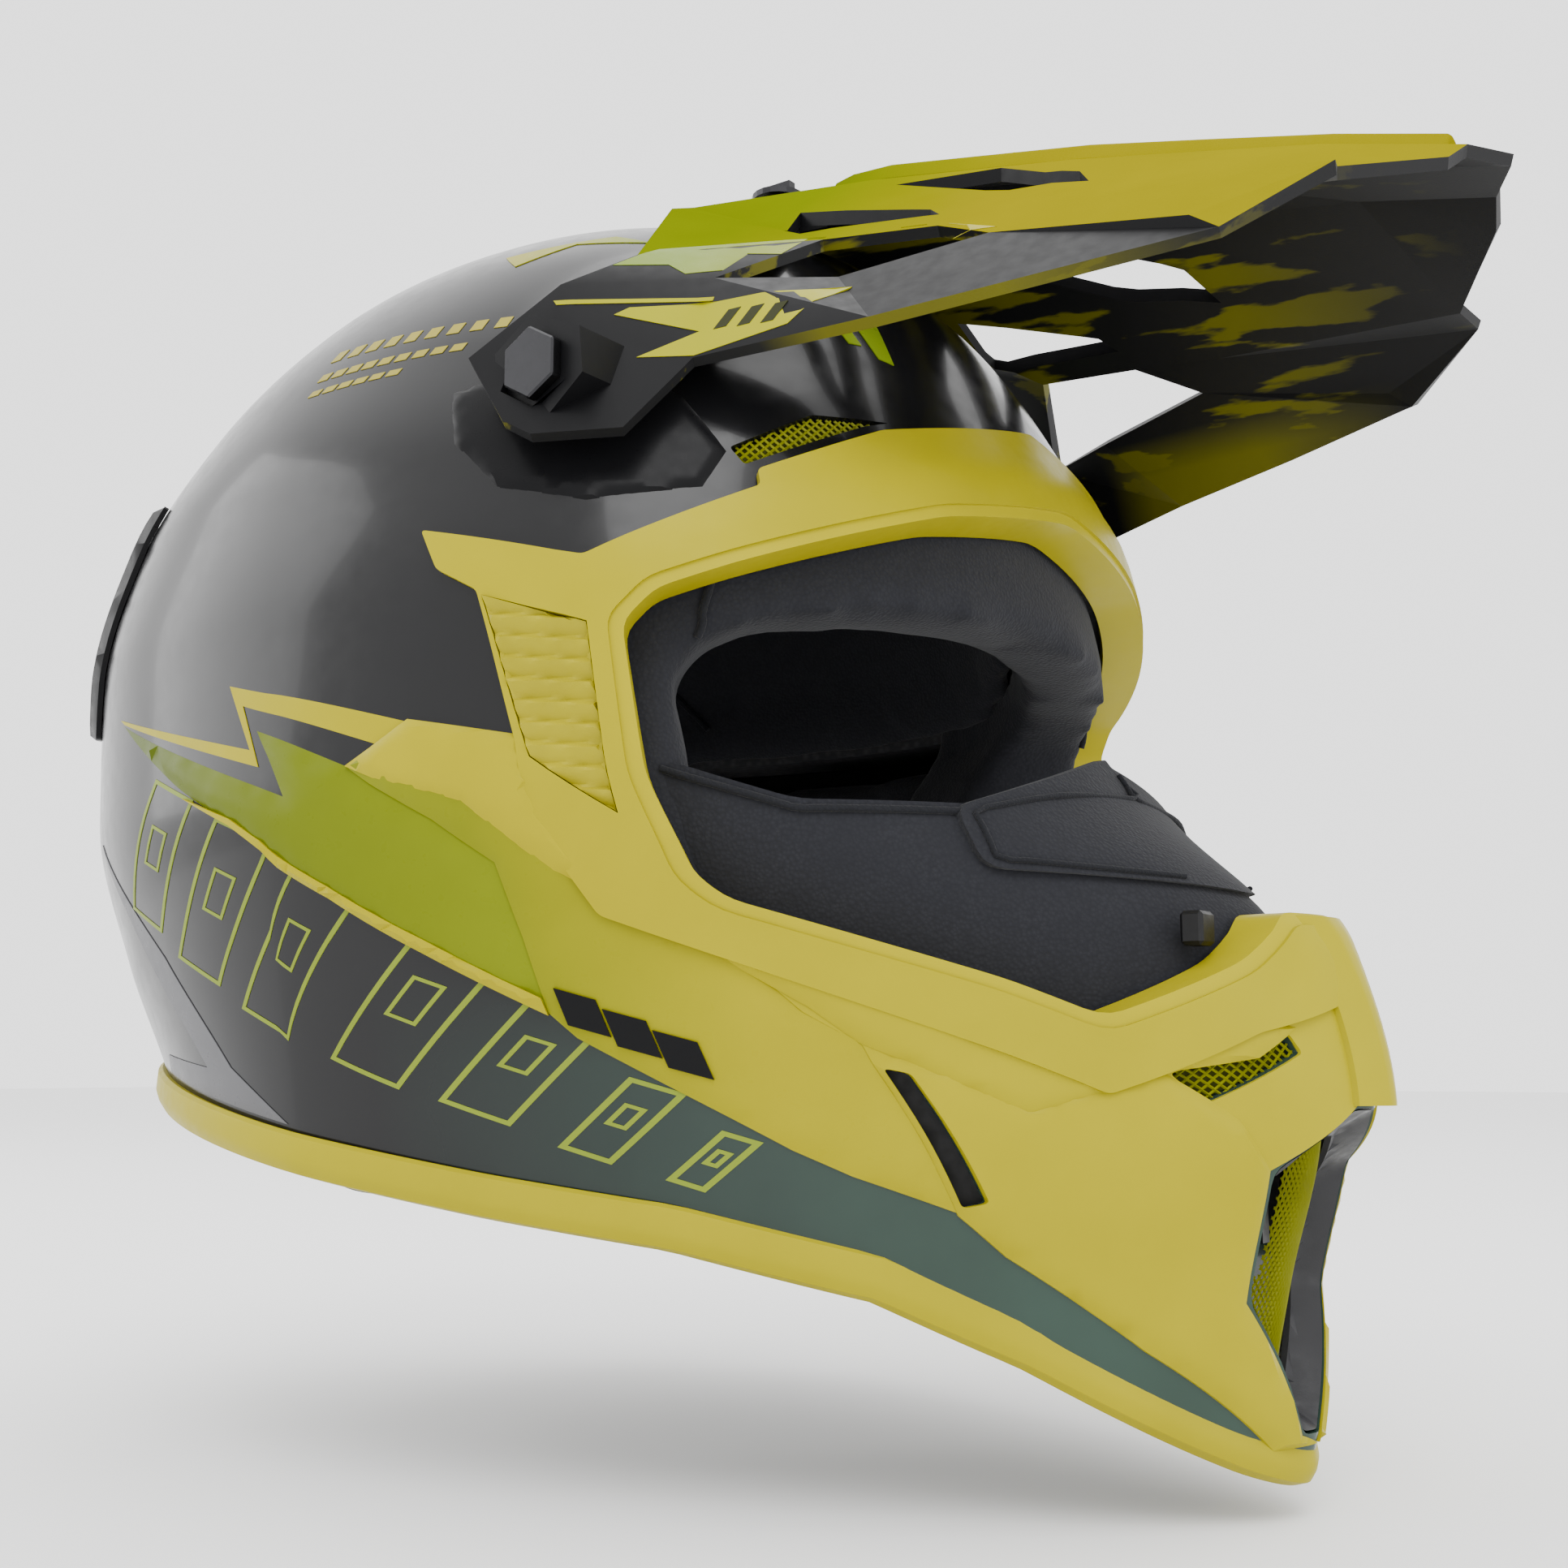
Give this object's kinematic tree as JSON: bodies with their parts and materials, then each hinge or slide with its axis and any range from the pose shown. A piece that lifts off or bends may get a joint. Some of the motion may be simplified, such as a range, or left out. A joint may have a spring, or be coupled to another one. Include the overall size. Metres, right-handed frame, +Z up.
{
  "type": "motocross helmet",
  "caption": "Full-face off-road helmet with a tilting vented peak, open eye port, padded lining, breath deflector, chin vent shutter and D-ring strap.",
  "frame": {"origin": "centre of the wearer's head, on the symmetry plane, inside the helmet", "axes": "+X to the front, +Y to the wearer's left, +Z up as worn"},
  "size_m": [0.3886, 0.25, 0.3159],
  "materials": {
    "shell_black": "glossy black with printed graphics",
    "trim_yellow": "bright yellow gloss",
    "lime": "lime gloss",
    "mesh_olive": "woven mesh, olive",
    "vent_grey": "dark grey moulded",
    "black_plastic": "satin black",
    "foam": "grey energy-absorbing foam",
    "lining": "charcoal brushed fabric",
    "webbing": "woven black strap",
    "steel": "plain steel"
  },
  "bodies": {
    "helmet": {"outer_shell": "shell_black", "eye_port_trim": "trim_yellow", "eye_port_lip": "trim_yellow", "base_edge_bead": "trim_yellow", "goggle_strap_grip_right": "trim_yellow", "goggle_strap_grip_left": "trim_yellow", "brow_vent_mesh_right": "mesh_olive", "brow_vent_mesh_left": "mesh_olive", "nose_vent_mesh_right": "mesh_olive", "nose_vent_mesh_left": "mesh_olive", "mouth_vent_mesh": "mesh_olive", "mouth_vent_frame": "vent_grey", "chin_slot_insert_right": "black_plastic", "chin_slot_insert_left": "black_plastic", "rear_exhaust_cover_right": "black_plastic", "rear_exhaust_cover_left": "black_plastic", "crown_spine": "black_plastic", "breath_deflector": "lining", "deflector_clip_right": "black_plastic", "deflector_clip_left": "black_plastic", "crown_foam": "foam", "chin_foam_right": "foam", "chin_foam_left": "foam", "comfort_liner": "lining", "brow_pad": "lining", "cheek_pad_right": "lining", "cheek_pad_left": "lining", "neck_roll": "lining", "peak_boss_right": "black_plastic", "peak_boss_left": "black_plastic", "thumb_screw_boss": "black_plastic", "chin_strap_right": "webbing", "chin_strap_left": "webbing", "strap_rivet_right": "steel", "strap_rivet_left": "steel", "strap_snap_cap": "black_plastic", "strap_snap_socket": "steel"},
    "peak": {"peak_body": "black_plastic", "peak_spine_cap": "lime"},
    "side_screw_right": {"side_screw_right": "black_plastic"},
    "side_screw_left": {"side_screw_left": "black_plastic"},
    "thumb_screw": {"thumb_screw": "black_plastic"},
    "mouth_vent_shutter": {"mouth_vent_shutter": "black_plastic"},
    "d_ring_outer": {"d_ring_outer": "steel"},
    "d_ring_inner": {"d_ring_inner": "steel"}
  },
  "joints": [
    {"name": "peak_tilt", "type": "hinge", "parent": "helmet", "child": "peak", "pos_m": [0.075, 0, 0.052], "axis": [0, -1, 0], "range_deg": [-4, 2]},
    {"name": "side_screw_right_turn", "type": "hinge", "parent": "helmet", "child": "side_screw_right", "pos_m": [0.075, -0.11, 0.052], "axis": [0, -1, 0], "continuous": true},
    {"name": "side_screw_left_turn", "type": "hinge", "parent": "helmet", "child": "side_screw_left", "pos_m": [0.075, 0.11, 0.052], "axis": [0, 1, 0], "continuous": true},
    {"name": "thumb_screw_turn", "type": "hinge", "parent": "helmet", "child": "thumb_screw", "pos_m": [0.055, 0, 0.1372], "axis": [0, 0, 1], "continuous": true},
    {"name": "mouth_shutter_slide", "type": "slide", "parent": "helmet", "child": "mouth_vent_shutter", "axis": [0, 0, 1], "range_m": [0, 0.008]},
    {"name": "d_ring_outer_swing", "type": "hinge", "parent": "helmet", "child": "d_ring_outer", "pos_m": [0.01, -0.0326, -0.1186], "axis": [1, 0, 0], "range_deg": [0, 50]},
    {"name": "d_ring_inner_swing", "type": "hinge", "parent": "helmet", "child": "d_ring_inner", "pos_m": [0.01, -0.0294, -0.1186], "axis": [1, 0, 0], "range_deg": [0, 35]}
  ]
}
